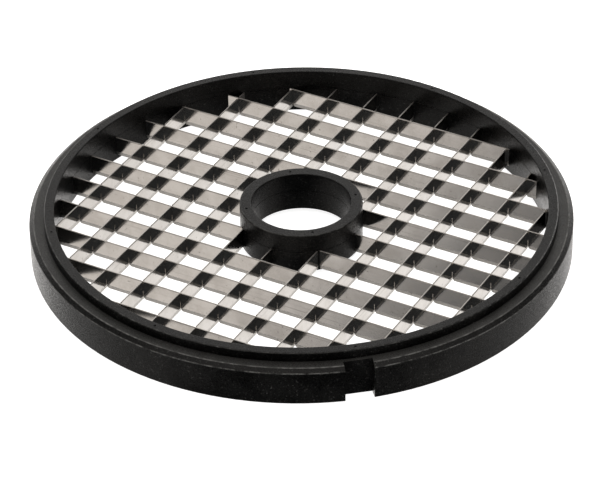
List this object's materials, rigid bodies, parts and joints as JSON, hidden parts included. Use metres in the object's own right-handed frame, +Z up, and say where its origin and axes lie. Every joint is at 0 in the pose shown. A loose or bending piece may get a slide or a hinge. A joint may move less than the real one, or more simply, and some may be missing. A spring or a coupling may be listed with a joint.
{
  "type": "dicing grid",
  "caption": "Round dicing grid for a vegetable cutter: moulded black rim and hub with half-lapped stainless blades between them.",
  "frame": {"origin": "centre of the plane that the rim's underside rests in, on the axis of the bore", "axes": "+Z up along the bore, away from the sharpened edges; X and Y along the two families of blades"},
  "size_m": [0.1934, 0.1934, 0.017],
  "materials": {
    "rim_plastic": "satin moulded black plastic with light edge wear",
    "hub_plastic": "satin moulded black plastic",
    "blade_steel": "rolled bright stainless strip with fine lengthways lines"
  },
  "bodies": {
    "root": {"lower_rim": "rim_plastic", "upper_rim": "rim_plastic", "lower_hub": "hub_plastic", "upper_hub": "hub_plastic", "over_blade_middle_east": "blade_steel", "over_blade_middle_west": "blade_steel", "over_blade_north_1_east": "blade_steel", "over_blade_north_1_west": "blade_steel", "over_blade_north_2": "blade_steel", "over_blade_north_3": "blade_steel", "over_blade_north_4": "blade_steel", "over_blade_north_5": "blade_steel", "over_blade_south_1_east": "blade_steel", "over_blade_south_1_west": "blade_steel", "over_blade_south_2": "blade_steel", "over_blade_south_3": "blade_steel", "over_blade_south_4": "blade_steel", "over_blade_south_5": "blade_steel", "under_blade_east_1_north": "blade_steel", "under_blade_east_1_south": "blade_steel", "under_blade_east_2": "blade_steel", "under_blade_east_3": "blade_steel", "under_blade_east_4": "blade_steel", "under_blade_east_5": "blade_steel", "under_blade_middle_north": "blade_steel", "under_blade_middle_south": "blade_steel", "under_blade_west_1_north": "blade_steel", "under_blade_west_1_south": "blade_steel", "under_blade_west_2": "blade_steel", "under_blade_west_3": "blade_steel", "under_blade_west_4": "blade_steel", "under_blade_west_5": "blade_steel"}
  },
  "joints": []
}
